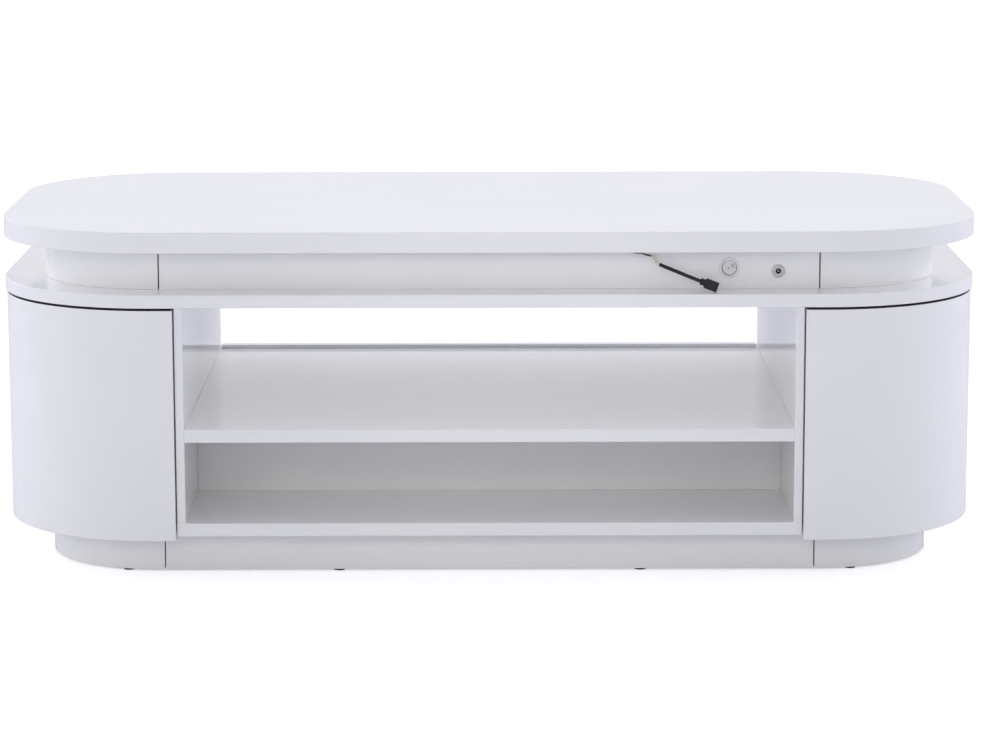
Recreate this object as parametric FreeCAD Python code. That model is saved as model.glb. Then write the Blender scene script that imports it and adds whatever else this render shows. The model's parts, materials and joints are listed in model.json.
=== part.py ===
"""Lift top coffee table with rounded ends, two curved corner doors and a rear drawer.

Frame: +X along the length, -Y towards the front, +Z up, origin on the floor below the
middle of the top. Millimetres. Every solid is one real piece, in a node of its own name.
"""
import FreeCAD, Part
import math
import os

V = FreeCAD.Vector
X_AXIS, Y_AXIS, Z_AXIS = V(1, 0, 0), V(0, 1, 0), V(0, 0, 1)
os.makedirs("parts", exist_ok=True)

# ---------------------------------------------------------------- driving dimensions
top_length = 1200.0
top_width = 600.0
table_height = 420.0
corner_radius = 195.0
top_thickness = 25.0
edge_round = 1.0            # eased edges of the lacquered boards
touch = 0.01                # how near two places count as the same

board = 16.0                # deck, bottom board, dividers, shelf, drawer front
ring_wall = 15.0            # neck and plinth walls
thin_board = 12.0           # niche back, cabinet backs and shelves, drawer box
joint_gap = 1.5             # open joints between ring pieces

glide_height = 2.0
glide_radius = 6.75
glide_turn = 74.0           # degrees round the plinth's corner
plinth_height = 50.0        # floor to the underside of the bottom board
plinth_end_inset = 55.0
plinth_side_inset = 38.0
plinth_radius = 143.0
plinth_joint_from_end = 206.0

neck_height = 50.0          # deck to the underside of the top
neck_end_inset = 50.0
neck_side_inset = 46.0
neck_radius = 150.0
neck_joint_from_end = 203.0
bumper_height = 1.7
bumper_radius = 5.0
top_clearance = 0.3         # bumper to top, when closed

cabinet_width = 234.0       # table end to the open bay
board_setback = 6.0         # top edge to the front edges of the boards
niche_height = 99.0
niche_depth = 188.0

door_setback = 2.0
door_thickness = 16.0
door_top_gap = 3.0
door_drop = 5.0             # below the bottom board
door_edge_gap = 1.7         # to the divider
door_inner_gap = 1.5        # to the bottom board
door_hinge_gap = 2.0        # to the fixed rear panel
door_rebate = 6.0           # cut out of the divider for the door's edge
door_rebate_clearance = 3.0

pivot_pin_radius = 3.0
running_clearance = 0.05    # radial, pin in bush
bush_radius = 5.0
bush_length = 14.0
pivot_pin_in_deck = 10.0
pivot_pin_short = 1.0       # pin's end before the bush's end
pivot_plate_thickness = 2.5
pivot_plate_width = 14.0
pivot_plate_gap = 2.0       # to the plinth
pivot_relief = 12.0
pivot_relief_lap = 1.0
small_gap = 0.3

cabinet_back_gap = 2.0      # behind the cabinet shelf and the pivots' line
cabinet_shelf_inset = 30.0
cabinet_shelf_drop = 121.0  # deck to the shelf's upper face
shelf_pin_radius = 2.5
shelf_pin_length = 16.0
shelf_pin_shares = (0.25, 0.75)  # of the board's depth or width

latch_width = 14.0
latch_height = 18.0
latch_length = 45.0
latch_drop = 80.0           # deck to the latch's middle
plunger_radius = 3.5
plunger_length = 41.0
plunger_travel = 3.0
plunger_round = 1.0
bore_play = 1.0             # bore deeper than the plunger, screw or rocker in it
latch_front_gap = 12.0      # door to the latch body

drawer_side_gap = 1.5
drawer_foot_gap = 2.0
drawer_lip = 5.0            # drawer front above the shelf
runner_space = 14.0
drawer_box_height = 72.0
drawer_box_lift = 12.0
drawer_back_gap = 24.0      # niche back to drawer box
drawer_bottom_thickness = 5.0
drawer_bottom_lift = 6.0
runner_height = 34.0
runner_sheet = 1.5
runner_flange = 9.0
runner_reach = 10.0         # flange of the moving runner
runner_gap = 0.4
runner_lift = 26.0
runner_end_gap = 8.0

arm_length = 230.0
arm_width = 20.0
arm_thickness = 4.0
arm_spacing = 60.0          # between the two pivots of one rail
arm_pin_radius = 4.0
arm_pin_clearance = 0.05
pin_head_radius = 7.0
pin_head_thickness = 1.6
rail_sheet = 3.0
rail_flange = 20.0
rail_screw_from_web = 13.0
rail_overhang = 15.0
rail_web = 24.0
base_pivot_height = 14.0    # above the deck
top_pivot_drop = 14.0       # below the top
side_play = 1.0             # between an arm and the rail's web
mechanism_offset = 322.0    # table's middle plane to the rail's web
rear_pivot_gap = 22.0       # rear top pivot to the neck's rear wall
cross_tube_radius = 8.0
cross_tube_wall = 1.5

spring_wire = 3.0
spring_coil_radius = 9.0
spring_pitch = 3.6
spring_turns = 6
spring_leg = 34.0
spring_deck_gap = 0.1

screw_radius = 2.0
screw_head_radius = 4.0
screw_head_height = 2.2
screw_depth = 11.0          # into the wood

switch_from_centre = 288.0
switch_lift = 25.0          # above the deck
switch_turn = 30.0          # degrees that the switch is turned in its hole
rocker_radius = 9.0
rocker_clearance = 0.3
rocker_tilt = 10.0
rocker_front = 2.6
rocker_back = 2.4
rocker_valley = 8.0
rocker_depth = 2.0          # rocker's axis behind the panel's face
rocker_stub_radius = 1.2
rocker_stub_wall = 0.4      # barrel left outside the stub's hole
rocker_stub_play = 0.2
switch_barrel = 10.6
switch_flange = 12.2
switch_flange_thickness = 1.8
flange_round_share = 0.5    # of a flange's thickness
switch_body_length = 20.0

jack_from_centre = 347.0
jack_lift = 21.0
jack_flange = 8.0
jack_flange_thickness = 1.4
jack_barrel = 5.5
jack_hole = 3.2
jack_pin = 1.0
jack_length = 26.0
jack_hole_depth = 10.0
jack_pin_recess = 1.5       # pin's tip behind the flange's face
jack_pin_root = 1.0
jack_nut = 8.0
jack_nut_thickness = 2.5

led_strip_width = 5.0
led_strip_thickness = 2.0
led_strip_gap = (164.0, 207.0)   # from the middle plane, between the strip's two ends
controller_length = 70.0
controller_width = 30.0
controller_height = 12.0
controller_from_centre = 200.0
controller_gap = 6.0
controller_round = 1.5

wire_radius = 1.1           # the thin wires taken together
wire_stand_off = 0.2        # off the neck's face
bend_share = 0.45           # of the shorter run, used by a bend
sleeve_radius = 1.7
lead_radius = 2.2
connector_width = 12.0
connector_thickness = 5.0
connector_length = 16.0
connector_neck_width = 8.0
connector_neck_thickness = 4.0
connector_neck_length = 6.0

# ---------------------------------------------------------------- derived places
half_length = top_length / 2
half_width = top_width / 2
top_z = table_height - top_thickness
deck_z = top_z - neck_height
deck_under = deck_z - board
floor_board_z = plinth_height + board
shelf_z = floor_board_z + niche_height + board
bay_half = half_length - cabinet_width
divider_outer = bay_half + board
board_y = half_width - board_setback
door_x = bay_half + board - door_rebate + door_edge_gap
door_face_end = half_length - door_setback
pivot_x = door_face_end - door_thickness / 2
pivot_y = -door_hinge_gap / 2 - door_thickness / 2
inner_end = door_face_end - door_thickness
neck_inner_y = half_width - neck_side_inset - ring_wall
neck_face_y = half_width - neck_side_inset
neck_top = top_z - bumper_height - top_clearance


# ---------------------------------------------------------------- helpers
def box(x0, x1, y0, y1, z0, z1):
    """A block between two corners."""
    return Part.makeBox(x1 - x0, y1 - y0, z1 - z0, V(x0, y0, z0))


def rounded_slab(end_inset, side_inset, radius, z0, z1):
    """A board with the table's plan, set in from its edge."""
    x = half_length - end_inset
    y = half_width - side_inset
    d = radius * (1 - math.sqrt(0.5))
    corners = [(1, 1), (-1, 1), (-1, -1), (1, -1)]
    edges = []
    for i, (sx, sy) in enumerate(corners):
        on_end = V(sx * x, sy * (y - radius), z0)
        on_side = V(sx * (x - radius), sy * y, z0)
        middle = V(sx * (x - d), sy * (y - d), z0)
        first, last = (on_end, on_side) if i % 2 == 0 else (on_side, on_end)
        if edges:
            edges.append(Part.LineSegment(previous, first).toShape())
        else:
            start = first
        edges.append(Part.Arc(first, middle, last).toShape())
        previous = last
    edges.append(Part.LineSegment(previous, start).toShape())
    return Part.Face(Part.Wire(edges)).extrude(V(0, 0, z1 - z0))


def rounded_wall(end_inset, side_inset, radius, thickness, z0, z1):
    """A closed ring wall that follows the table's plan."""
    outer = rounded_slab(end_inset, side_inset, radius, z0, z1)
    inner = rounded_slab(end_inset + thickness, side_inset + thickness, radius - thickness, z0, z1)
    return outer.cut(inner)


def eased(shape, pick):
    """The shape with its picked edges rounded over; pick reads an edge's bounding box."""
    return shape.makeFillet(edge_round, [e for e in shape.Edges if pick(e.BoundBox)])


def is_level(b):
    """Whether an edge's box is flat, as on the rim of a board."""
    return b.ZLength < touch


def rod(radius, start, end):
    """A round bar from one point to another."""
    return Part.makeCylinder(radius, (end - start).Length, start, end - start)


def mirrored(shape):
    """The same piece on the other side of the table's middle plane."""
    return shape.mirror(V(0, 0, 0), X_AXIS)


def save(name, *solids):
    """Write one node."""
    shape = solids[0] if len(solids) == 1 else Part.makeCompound(list(solids))
    shape.exportStep("parts/" + name + ".step")


def save_pair(name, shape):
    """Write the right-hand piece and its left-hand mirror image as two nodes."""
    save("right_" + name, shape)
    save("left_" + name, mirrored(shape))


def both_sides(shapes):
    """The given right-hand solids and their mirror images."""
    return shapes + [mirrored(s) for s in shapes]


# ---------------------------------------------------------------- lift mechanism places
def lift_places():
    """The four pivots of one side, as (y, z), with the arms folded back."""
    base_height = deck_z + base_pivot_height
    top_height = top_z - top_pivot_drop
    rise = top_height - base_height
    reach = math.sqrt(arm_length ** 2 - rise ** 2)
    rear_top = neck_inner_y - rear_pivot_gap
    rear_base = rear_top - reach
    return {"rear_base": (rear_base, base_height), "front_base": (rear_base - arm_spacing, base_height),
            "rear_top": (rear_top, top_height), "front_top": (rear_top - arm_spacing, top_height)}


pivots = lift_places()
web_in = mechanism_offset
web_out = web_in + rail_sheet
rear_arm_x = web_in - side_play - arm_thickness
front_arm_x = web_out + side_play
flange_screw_x = web_out + rail_screw_from_web
base_rail_y = (pivots["front_base"][0] - rail_overhang, pivots["rear_base"][0] + rail_overhang)
top_rail_y = (pivots["front_top"][0] - rail_overhang, pivots["rear_top"][0] + rail_overhang)


def rail_screw_places(span):
    """Two screw places along a rail, on its right-hand flange."""
    return [(flange_screw_x, span[0] + rail_overhang / 2), (flange_screw_x, span[1] - rail_overhang / 2)]


def screw_holes(span, z0, z1):
    """Pilot holes for one pair of rails."""
    holes = []
    for x, y in rail_screw_places(span):
        for side in (1, -1):
            holes.append(rod(screw_radius, V(side * x, y, z0), V(side * x, y, z1)))
    return holes


# ---------------------------------------------------------------- top, deck and neck
def make_top():
    top = eased(rounded_slab(0, 0, corner_radius, top_z, table_height), is_level)
    for hole in screw_holes(top_rail_y, top_z, top_z + screw_depth):
        top = top.cut(hole)
    save("table_top", top)


def make_deck():
    deck = eased(rounded_slab(0, 0, corner_radius, deck_under, deck_z), is_level)
    for hole in screw_holes(base_rail_y, deck_z - screw_depth, deck_z):
        deck = deck.cut(hole)
    for side in (1, -1):
        foot = V(side * pivot_x, pivot_y, deck_under)
        deck = deck.cut(rod(pivot_pin_radius, foot, foot + Z_AXIS * pivot_pin_in_deck))
    save("deck_plate", deck)


def make_ring(end_inset, side_inset, radius, joint_from_end, z0, z1, front_holes):
    """Neck or plinth: straight front and rear pieces, and a bent piece at each end."""
    ring = rounded_wall(end_inset, side_inset, radius, ring_wall, z0, z1)
    joint = half_length - joint_from_end
    middle = joint - joint_gap / 2
    end = joint + joint_gap / 2
    front = ring.common(box(-middle, middle, -half_width, 0, z0, z1))
    rear = ring.common(box(-middle, middle, 0, half_width, z0, z1))
    for hole in front_holes:
        front = front.cut(hole)
    right = ring.common(box(end, half_length, -half_width, half_width, z0, z1))
    return front, rear, right


def make_neck():
    through = V(0, ring_wall, 0)
    face = V(switch_from_centre, -neck_face_y, deck_z + switch_lift)
    jack = V(jack_from_centre, -neck_face_y, deck_z + jack_lift)
    holes = [rod(switch_barrel, face, face + through), rod(jack_barrel, jack, jack + through)]
    front, rear, right = make_ring(neck_end_inset, neck_side_inset, neck_radius,
                                   neck_joint_from_end, deck_z, neck_top, holes)
    save("neck_front_panel", front)
    save("neck_rear_panel", rear)
    save("neck_right_end", right)
    save("neck_left_end", mirrored(right))
    wall_y = neck_face_y - ring_wall / 2
    end_x = half_length - neck_end_inset - ring_wall / 2
    places = [(bay_half / 2, wall_y), (bay_half / 2, -wall_y), (end_x, 0)]
    pads = [rod(bumper_radius, V(x, y, neck_top), V(x, y, neck_top + bumper_height)) for x, y in places]
    save("top_bumpers", *both_sides(pads))


# ---------------------------------------------------------------- plinth and glides
def make_plinth():
    front, rear, right = make_ring(plinth_end_inset, plinth_side_inset, plinth_radius,
                                   plinth_joint_from_end, glide_height, plinth_height, [])
    save("plinth_front", front)
    save("plinth_rear", rear)
    save("plinth_right_end", right)
    save("plinth_left_end", mirrored(right))
    mid = ring_wall / 2
    arc_x = half_length - plinth_end_inset - plinth_radius
    arc_y = half_width - plinth_side_inset - plinth_radius
    turn = math.radians(glide_turn)
    bend = plinth_radius - mid
    places = [(arc_x + bend * math.cos(turn), arc_y + bend * math.sin(turn)),
              (arc_x + bend * math.cos(turn), -arc_y - bend * math.sin(turn)),
              (bay_half / 2, half_width - plinth_side_inset - mid),
              (bay_half / 2, -half_width + plinth_side_inset + mid),
              (half_length - plinth_end_inset - mid, 0)]
    pads = [rod(glide_radius, V(x, y, 0), V(x, y, glide_height)) for x, y in places]
    save("floor_glides", *both_sides(pads))


# ---------------------------------------------------------------- carcass boards
def make_bottom_board():
    z0, z1 = plinth_height, floor_board_z
    front_inset = door_setback + door_thickness + door_inner_gap
    rear_inset = door_setback + door_thickness
    front = rounded_slab(front_inset, front_inset, corner_radius - front_inset, z0, z1)
    front = front.common(box(-half_length, half_length, -half_width, 0, z0, z1))
    rear = rounded_slab(rear_inset, rear_inset, corner_radius - rear_inset, z0, z1)
    rear = rear.common(box(-half_length, half_length, 0, half_width, z0, z1))
    bay = divider_outer - door_rebate
    middle = eased(box(-bay, bay, -board_y, board_y, z0, z1), lambda b: b.XLength > bay)
    save("bottom_board", front.fuse([rear, middle]).removeSplitter())


def make_dividers():
    z0, z1 = floor_board_z, deck_under
    panel = box(bay_half, divider_outer, -board_y, board_y, z0, z1)
    rebate_depth = door_thickness - (board_setback - door_setback) + door_rebate_clearance
    panel = panel.cut(box(divider_outer - door_rebate, divider_outer, -board_y,
                          -board_y + rebate_depth, z0, z1))
    panel = eased(panel, lambda b: b.ZLength > board and abs(b.YMin) > board_y - touch)
    for place in divider_pin_places():
        panel = panel.cut(rod(shelf_pin_radius, place, place - X_AXIS * (shelf_pin_length / 2)))
    save_pair("divider", panel)


def make_shelf():
    rear = board_y - board - drawer_foot_gap
    shelf = box(-bay_half, bay_half, -board_y, rear, shelf_z - board, shelf_z)
    save("shelf", eased(shelf, lambda b: b.XLength > bay_half))
    y0 = -board_y + niche_depth
    save("niche_back_panel", box(-bay_half, bay_half, y0, y0 + thin_board, floor_board_z, shelf_z - board))


# ---------------------------------------------------------------- cabinets
cabinet_shelf_z = deck_under - cabinet_shelf_drop
pin_z = cabinet_shelf_z - thin_board - shelf_pin_radius
cabinet_back_y = door_hinge_gap / 2 + cabinet_back_gap


def divider_pin_places():
    """Where two shelf pins enter the divider's outer face."""
    return [V(divider_outer, y, pin_z) for y in (-k * half_width for k in shelf_pin_shares)]


def back_pin_places():
    """Where two shelf pins enter the cabinet back's front face."""
    span = inner_end - divider_outer
    return [V(divider_outer + span * k, cabinet_back_y, pin_z) for k in shelf_pin_shares]


def make_cabinet_inside():
    z0, z1 = floor_board_z, deck_under
    back = box(divider_outer, inner_end, cabinet_back_y, cabinet_back_y + thin_board, z0, z1)
    for place in back_pin_places():
        back = back.cut(rod(shelf_pin_radius, place, place + Y_AXIS * (shelf_pin_length / 2)))
    save_pair("cabinet_back", back)

    plan = rounded_slab(cabinet_shelf_inset, cabinet_shelf_inset, corner_radius - cabinet_shelf_inset,
                        cabinet_shelf_z - thin_board, cabinet_shelf_z)
    room = box(divider_outer, half_length, -half_width, cabinet_back_y,
               cabinet_shelf_z - thin_board, cabinet_shelf_z)
    save_pair("cabinet_shelf", plan.common(room))

    half = shelf_pin_length / 2
    pins = [rod(shelf_pin_radius, p - X_AXIS * half, p + X_AXIS * half) for p in divider_pin_places()]
    pins += [rod(shelf_pin_radius, p - Y_AXIS * half, p + Y_AXIS * half) for p in back_pin_places()]
    save("shelf_pins", *both_sides(pins))


def make_rear_panels():
    radius = corner_radius - door_setback
    z0, z1 = plinth_height - door_drop, deck_under
    wall = rounded_wall(door_setback, door_setback, radius, door_thickness, z0, z1)
    panel = wall.common(box(divider_outer, half_length, door_hinge_gap / 2, half_width, z0, z1))
    save_pair("rear_panel", eased(panel, lambda b: is_level(b) and b.ZMax < z0 + touch))


# ---------------------------------------------------------------- doors and their pivots
def make_doors():
    radius = corner_radius - door_setback
    z0, z1 = plinth_height - door_drop, deck_under - door_top_gap
    wall = rounded_wall(door_setback, door_setback, radius, door_thickness, z0, z1)
    door = wall.common(box(door_x, half_length, -half_width, pivot_y, z0, z1))
    nose = Part.makeCylinder(door_thickness / 2, z1 - z0, V(pivot_x, pivot_y, z0))
    door = door.fuse(nose).removeSplitter()
    door = eased(door, lambda b: is_level(b) or b.XMax < door_x + touch)
    relief_top = plinth_height + small_gap
    door = door.cut(box(inner_end - pivot_relief_lap, half_length, pivot_y - pivot_relief, 0, z0, relief_top))
    bores = [Part.makeCylinder(bush_radius, bush_length, V(pivot_x, pivot_y, z))
             for z in (relief_top, z1 - bush_length)]
    for bore in bores:
        door = door.cut(bore)
    save_pair("door", door)

    hole = pivot_pin_radius + running_clearance
    bushes = []
    for z in (relief_top, z1 - bush_length):
        sleeve = Part.makeCylinder(bush_radius, bush_length, V(pivot_x, pivot_y, z))
        bushes.append(sleeve.cut(Part.makeCylinder(hole, bush_length, V(pivot_x, pivot_y, z))))
    save_pair("door_bushes", Part.makeCompound(bushes))

    foot = z1 - bush_length + pivot_pin_short
    pin = rod(pivot_pin_radius, V(pivot_x, pivot_y, foot),
              V(pivot_x, pivot_y, deck_under + pivot_pin_in_deck))
    save("top_pivots", *both_sides([pin]))

    half = pivot_plate_width / 2
    plate_z = plinth_height - pivot_plate_thickness
    plate_end = half_length - plinth_end_inset + pivot_plate_gap
    plate = box(plate_end, pivot_x, pivot_y - half, pivot_y + half, plate_z, plinth_height)
    plate = plate.fuse(Part.makeCylinder(half, pivot_plate_thickness, V(pivot_x, pivot_y, plate_z)))
    peg = rod(pivot_pin_radius, V(pivot_x, pivot_y, plate_z),
              V(pivot_x, pivot_y, relief_top + bush_length - pivot_pin_short))
    save("bottom_pivots", *both_sides([plate.fuse(peg).removeSplitter()]))


def make_latches():
    door_inner = half_width - door_setback - door_thickness
    x = divider_outer + latch_width / 2
    z = deck_under - latch_drop
    front = -door_inner + latch_front_gap
    tip = -door_inner + small_gap
    body = box(divider_outer, divider_outer + latch_width, front, front + latch_length,
               z - latch_height / 2, z + latch_height / 2)
    tail = tip + plunger_length
    body = body.cut(rod(plunger_radius + running_clearance, V(x, front, z),
                        V(x, tail + plunger_travel + bore_play, z)))
    save("latch_bodies", *both_sides([body]))
    plunger = rod(plunger_radius, V(x, tip, z), V(x, tail, z))
    ends = [e for e in plunger.Edges if e.BoundBox.YMax < tip + touch]
    save_pair("latch_plunger", plunger.makeFillet(plunger_round, ends))


# ---------------------------------------------------------------- rear drawer
def make_drawer():
    front_x = bay_half - drawer_side_gap
    inner_y = board_y - board
    front = box(-front_x, front_x, inner_y, board_y, floor_board_z + drawer_foot_gap, shelf_z + drawer_lip)
    save("drawer_front", front.makeFillet(edge_round, front.Edges))

    side_out = bay_half - runner_space
    side_in = side_out - thin_board
    y0 = -board_y + niche_depth + thin_board + drawer_back_gap
    z0 = floor_board_z + drawer_box_lift
    z1 = z0 + drawer_box_height
    side = box(side_in, side_out, y0, inner_y, z0, z1)
    save("drawer_sides", *both_sides([side]))
    save("drawer_back", box(-side_in, side_in, y0, y0 + thin_board, z0, z1))
    bottom_z = z0 + drawer_bottom_lift
    save("drawer_bottom", box(-side_in, side_in, y0 + thin_board, inner_y,
                              bottom_z, bottom_z + drawer_bottom_thickness))

    rail_z = z0 + runner_lift
    y1 = inner_y - runner_end_gap
    rail = box(bay_half - runner_sheet, bay_half, y0, y1, rail_z, rail_z + runner_height)
    for z in (rail_z, rail_z + runner_height - runner_sheet):
        rail = rail.fuse(box(bay_half - runner_flange, bay_half, y0, y1, z, z + runner_sheet))
    save("drawer_rails", *both_sides([rail.removeSplitter()]))

    low = rail_z + runner_sheet + runner_gap
    high = rail_z + runner_height - runner_sheet - runner_gap
    runner = box(side_out, side_out + runner_sheet, y0, y1, low, high)
    reach = side_out + runner_reach
    for z in (low, high - runner_sheet):
        runner = runner.fuse(box(side_out, reach, y0, y1, z, z + runner_sheet))
    save("drawer_runners", *both_sides([runner.removeSplitter()]))


# ---------------------------------------------------------------- lift mechanism
def make_rail(span, pivot_names, web_z, flange_z, screw_z):
    """One steel angle rail: an upright web with two pin holes, and a screwed flange."""
    rail = box(web_in, web_out, span[0], span[1], web_z[0], web_z[1])
    rail = rail.fuse(box(web_in, web_out + rail_flange, span[0], span[1], flange_z[0], flange_z[1]))
    for name in pivot_names:
        y, z = pivots[name]
        rail = rail.cut(rod(arm_pin_radius, V(web_in, y, z), V(web_out, y, z)))
    for x, y in rail_screw_places(span):
        rail = rail.cut(rod(screw_radius, V(x, y, screw_z[0]), V(x, y, screw_z[1])))
    return rail.removeSplitter()


def make_rails():
    low = (deck_z, deck_z + rail_sheet)
    base = make_rail(base_rail_y, ("rear_base", "front_base"), (deck_z, deck_z + rail_web), low, low)
    save("base_rails", *both_sides([base]))
    high = (top_z - rail_sheet, top_z)
    top = make_rail(top_rail_y, ("rear_top", "front_top"), (top_z - rail_web, top_z), high, high)
    save("top_rails", *both_sides([top]))

    for name, span, head_z, way in (("base_rail_screws", base_rail_y, low[1], 1),
                                    ("top_rail_screws", top_rail_y, high[0], -1)):
        screws = []
        for x, y in rail_screw_places(span):
            seat = V(x, y, head_z)
            head = rod(screw_head_radius, seat, seat + Z_AXIS * (way * screw_head_height))
            shank = rod(screw_radius, seat, seat - Z_AXIS * (way * (rail_sheet + screw_depth - bore_play)))
            screws.append(head.fuse(shank).removeSplitter())
        save(name, *both_sides(screws))


def make_arm(x0, base, top):
    """A flat bar with round ends and a pin hole at each end."""
    (y0, z0), (y1, z1) = pivots[base], pivots[top]
    half = arm_width / 2
    along = V(0, y1 - y0, z1 - z0).normalize()
    across = V(0, -along.z, along.y)
    start, end = V(x0, y0, z0), V(x0, y1, z1)
    corners = [start + across * half, end + across * half, end - across * half, start - across * half]
    tips = [end + along * half, start - along * half]
    edges = [Part.LineSegment(corners[0], corners[1]).toShape(),
             Part.Arc(corners[1], tips[0], corners[2]).toShape(),
             Part.LineSegment(corners[2], corners[3]).toShape(),
             Part.Arc(corners[3], tips[1], corners[0]).toShape()]
    bar = Part.Face(Part.Wire(edges)).extrude(X_AXIS * arm_thickness)
    hole = arm_pin_radius + arm_pin_clearance
    for centre in (start, end):
        bar = bar.cut(rod(hole, centre, centre + X_AXIS * arm_thickness))
    return bar


def make_arms():
    rear = make_arm(rear_arm_x, "rear_base", "rear_top")
    save("rear_arms", *both_sides([rear]))
    save("front_arms", *both_sides([make_arm(front_arm_x, "front_base", "front_top")]))
    y = (pivots["rear_base"][0] + pivots["rear_top"][0]) / 2
    z = (pivots["rear_base"][1] + pivots["rear_top"][1]) / 2
    tube = rod(cross_tube_radius, V(-rear_arm_x, y, z), V(rear_arm_x, y, z))
    bore = rod(cross_tube_radius - cross_tube_wall, V(-rear_arm_x, y, z), V(rear_arm_x, y, z))
    save("cross_tube", tube.cut(bore))


def make_arm_pin(pivot, head_x, flush_x):
    """A headed pin from its head, beside the arm, to flush with the far side of the web."""
    y, z = pivots[pivot]
    way = 1 if flush_x > head_x else -1
    head = rod(pin_head_radius, V(head_x - way * pin_head_thickness, y, z), V(head_x, y, z))
    return head.fuse(rod(arm_pin_radius, V(head_x, y, z), V(flush_x, y, z))).removeSplitter()


def spring_start():
    """Degrees round the coil where the inner leg leaves it in line and comes down to the deck."""
    deck_drop = base_pivot_height - spring_wire / 2 - spring_deck_gap
    lean = math.atan2(spring_leg, spring_coil_radius)
    return math.degrees(lean + math.acos(deck_drop / math.hypot(spring_leg, spring_coil_radius)))


coil_height = spring_pitch * (spring_turns - spring_start() / 360)
spring_out = rear_arm_x - side_play
spring_in = spring_out - coil_height - spring_wire


def make_arm_pins():
    front_head = front_arm_x + arm_thickness + small_gap
    rear_head = rear_arm_x - small_gap
    spool_head = spring_in - small_gap
    base = [make_arm_pin("front_base", front_head, web_in), make_arm_pin("rear_base", spool_head, web_out)]
    top = [make_arm_pin("front_top", front_head, web_in), make_arm_pin("rear_top", rear_head, web_out)]
    save("base_pivot_pins", *both_sides(base))
    save("top_pivot_pins", *both_sides(top))


def make_springs():
    """Torsion springs on the rear base pins: one leg on the deck, one hooked under the arm.

    A spring is made about +Z with its outer leg towards +Y, then turned onto the pin.
    """
    y, z = pivots["rear_base"]
    half = spring_wire / 2
    start = V(spring_coil_radius, 0, 0)
    profile = Part.Wire(Part.makeCircle(half, start, Y_AXIS))
    helix = Part.makeHelix(spring_pitch, coil_height, spring_coil_radius)
    coil = Part.Wire(helix.Edges).makePipeShell([profile], True, True)
    deck_leg = rod(half, start, start - Y_AXIS * spring_leg)
    for piece in (coil, deck_leg):
        piece.rotate(V(0, 0, 0), Z_AXIS, spring_start())
    end = V(spring_coil_radius, 0, coil_height)
    arm_leg = rod(half, end, end + V(0, spring_leg, 0))
    corner = end + V(0, spring_leg, 0)
    hook = rod(half, corner, corner + Z_AXIS * (side_play + arm_thickness))
    ball = Part.makeSphere(half, corner)
    spring = coil.fuse([deck_leg, arm_leg, ball, hook]).removeSplitter()
    turn = FreeCAD.Rotation(V(0, 0, -1), V(0, 1, 0), V(1, 0, 0), "ZYX")
    spring.Placement = FreeCAD.Placement(V(spring_in + half, y, z), turn)
    save_pair("lift_spring", spring)


# ---------------------------------------------------------------- switch, jack and lights
def make_switch():
    centre = V(switch_from_centre, -neck_face_y + rocker_depth, deck_z + switch_lift)
    face_y = -neck_face_y
    hole = rocker_radius + rocker_clearance
    front = V(centre.x, face_y - switch_flange_thickness, centre.z)
    back = V(centre.x, face_y + switch_body_length, centre.z)
    face = V(centre.x, face_y, centre.z)
    bezel = rod(switch_flange, front, face)
    rims = [e for e in bezel.Edges if e.BoundBox.YMax < front.y + touch]
    bezel = bezel.makeFillet(switch_flange_thickness * flange_round_share, rims)
    bezel = bezel.fuse(rod(switch_barrel, face, back)).removeSplitter()
    floor_y = centre.y + rocker_radius + bore_play
    bezel = bezel.cut(rod(hole, front, V(centre.x, floor_y, centre.z)))
    lean = math.radians(switch_turn)
    axle = V(-math.sin(lean), 0, math.cos(lean))
    reach = switch_barrel - rocker_stub_wall
    stub_hole = rocker_stub_radius + running_clearance
    bezel = bezel.cut(rod(stub_hole, centre - axle * reach, centre + axle * reach))
    save("switch_bezel", bezel)

    ball = Part.makeSphere(rocker_radius, centre)
    wide = 2 * rocker_radius
    dip = rocker_radius * math.tan(math.radians(rocker_valley))
    outline = [V(-wide, rocker_back, -wide), V(wide, rocker_back, -wide),
               V(wide, -rocker_front - 2 * dip, -wide), V(0, -rocker_front, -wide),
               V(-wide, -rocker_front - 2 * dip, -wide)]
    block = Part.Face(Part.makePolygon(outline + outline[:1])).extrude(V(0, 0, 2 * wide))
    block.rotate(V(0, 0, 0), Z_AXIS, rocker_tilt)
    block.rotate(V(0, 0, 0), Y_AXIS, -switch_turn)
    block.translate(centre)
    stub = reach - rocker_stub_play
    rocker = ball.common(block).fuse(rod(rocker_stub_radius, centre - axle * stub, centre + axle * stub))
    save("switch_rocker", rocker.removeSplitter())


def make_jack():
    face = V(jack_from_centre, -neck_face_y, deck_z + jack_lift)
    front = face - Y_AXIS * jack_flange_thickness
    inside = face + Y_AXIS * ring_wall
    body = rod(jack_flange, front, face)
    rims = [e for e in body.Edges if e.BoundBox.YMax < front.y + touch]
    body = body.makeFillet(jack_flange_thickness * flange_round_share, rims)
    body = body.fuse(rod(jack_barrel, face, face + Y_AXIS * jack_length))
    body = body.fuse(rod(jack_nut, inside, inside + Y_AXIS * jack_nut_thickness))
    floor = front + Y_AXIS * jack_hole_depth
    body = body.cut(rod(jack_hole, front, floor))
    body = body.fuse(rod(jack_pin, floor + Y_AXIS * jack_pin_root, front + Y_AXIS * jack_pin_recess))
    save("power_jack", body.removeSplitter())


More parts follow.
